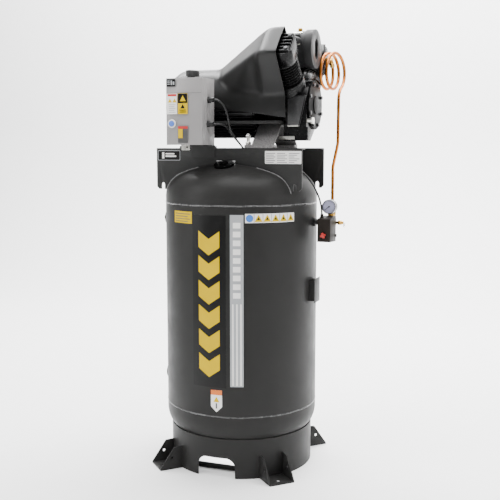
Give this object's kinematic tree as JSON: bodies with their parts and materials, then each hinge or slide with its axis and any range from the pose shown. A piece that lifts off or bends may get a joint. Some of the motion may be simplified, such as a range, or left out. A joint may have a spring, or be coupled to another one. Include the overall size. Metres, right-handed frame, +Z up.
{
  "type": "vertical air compressor",
  "caption": "Vertical tank air compressor with a shrouded direct-drive V-twin pump, starter box, pressure switch, gauge and coiled copper discharge tube.",
  "frame": {"origin": "on the floor, on the axis of the tank", "axes": "+Z up along the tank; +X along the pump shaft, from the motor toward the pump and the pressure switch; -Y is the front"},
  "size_m": [0.7662, 0.61, 1.728],
  "materials": {
    "tank_paint": "semi-gloss dark grey paint",
    "frame_paint": "semi-gloss near-black paint",
    "textured_paint": "coarse textured dark grey paint",
    "motor_paint": "black paint",
    "pump_paint": "gloss black paint",
    "cover_paint": "satin grey paint",
    "cast_iron": "black painted cast iron",
    "shroud_plastic": "moulded black plastic",
    "fan_plastic": "moulded plastic",
    "shaft_steel": "machined steel",
    "aluminium": "machined aluminium",
    "filter_plastic": "moulded plastic",
    "filter_paper": "pleated paper",
    "copper": "drawn copper",
    "brass": "machined brass",
    "pipe_black": "black iron pipe fitting",
    "switch_plastic": "dark moulded plastic",
    "knob_red": "red moulded plastic",
    "gauge_case": "case with a pale dial",
    "gauge_glass": "clear lens",
    "needle_black": "black needle",
    "ring_steel": "steel pull ring",
    "box_paint": "light warm grey paint",
    "button_blue": "blue push button",
    "gland_plastic": "black nylon",
    "cable_rubber": "black cable sheath",
    "bolt_steel": "black-oxide and plated steel"
  },
  "bodies": {
    "stand": {"base_braces": "tank_paint", "base_ring": "tank_paint", "box_glands": "gland_plastic", "check_valve": "brass", "control_cable": "cable_rubber", "crankcase": "pump_paint", "crankcase_end_cover": "cover_paint", "cylinder_front": "cast_iron", "cylinder_head_front": "pump_paint", "cylinder_head_rear": "pump_paint", "cylinder_rear": "cast_iron", "data_plate_bracket": "tank_paint", "discharge_elbow": "brass", "discharge_tube": "copper", "drain_valve": "brass", "fasteners": "bolt_steel", "filter_element": "filter_paper", "filter_housing": "filter_plastic", "foot_front_left": "tank_paint", "foot_front_right": "tank_paint", "foot_rear_left": "tank_paint", "foot_rear_right": "tank_paint", "frame_plate_front": "frame_paint", "frame_plate_rear": "frame_paint", "gauge_body": "gauge_case", "gauge_lens": "gauge_glass", "inlet_grille": "shroud_plastic", "inspection_cover": "textured_paint", "intake_manifold": "filter_plastic", "motor_cable": "cable_rubber", "motor_end_bell": "motor_paint", "motor_frame": "motor_paint", "motor_saddle": "frame_paint", "oil_drain": "pipe_black", "pump_adapter": "pump_paint", "pump_base_plate": "frame_paint", "pump_mount": "textured_paint", "safety_valve": "brass", "shroud": "shroud_plastic", "starter_box": "box_paint", "starter_cover": "box_paint", "switch_base": "switch_plastic", "switch_cover": "switch_plastic", "switch_manifold": "pipe_black", "tank_bottom_head": "tank_paint", "tank_ports": "tank_paint", "tank_shell": "tank_paint", "tank_top_head": "tank_paint", "unloader_tube": "aluminium", "valve_plate_front": "pump_paint", "valve_plate_rear": "pump_paint"},
    "rotor": {"rotor_crankshaft": "shaft_steel", "cooling_fan": "fan_plastic"},
    "front_piston": {"piston_front": "aluminium"},
    "rear_piston": {"piston_rear": "aluminium"},
    "pressure_needle": {"gauge_needle": "needle_black"},
    "cutout_knob": {"switch_knob": "knob_red"},
    "button": {"reset_button": "button_blue"},
    "pull_ring": {"safety_ring": "ring_steel"},
    "drain_wing": {"drain_handle": "brass"}
  },
  "joints": [
    {"name": "shaft_spin", "type": "hinge", "parent": "stand", "child": "rotor", "pos_m": [0, 0, 1.437], "axis": [1, 0, 0], "continuous": true},
    {"name": "front_piston_stroke", "type": "slide", "parent": "stand", "child": "front_piston", "axis": [0, -0.7071, 0.7071], "range_m": [-0.03, 0.03]},
    {"name": "rear_piston_stroke", "type": "slide", "parent": "stand", "child": "rear_piston", "axis": [0, 0.7071, 0.7071], "range_m": [-0.03, 0.03]},
    {"name": "needle_turn", "type": "hinge", "parent": "stand", "child": "pressure_needle", "pos_m": [0.373, -0.028, 1.046], "axis": [0, 1, 0], "range_deg": [0, 250]},
    {"name": "knob_turn", "type": "hinge", "parent": "stand", "child": "cutout_knob", "pos_m": [0.368, -0.092, 0.94], "axis": [0, 1, 0], "range_deg": [0, 90]},
    {"name": "button_press", "type": "slide", "parent": "stand", "child": "button", "axis": [0, 1, 0], "range_m": [0, 0.003], "stiffness_N_per_m": 400},
    {"name": "ring_pull", "type": "slide", "parent": "stand", "child": "pull_ring", "axis": [1, 0, 0], "range_m": [0, 0.005], "stiffness_N_per_m": 600},
    {"name": "drain_turn", "type": "hinge", "parent": "stand", "child": "drain_wing", "pos_m": [0, 0, 0.03], "axis": [0, 0, 1], "range_deg": [0, 90]}
  ]
}
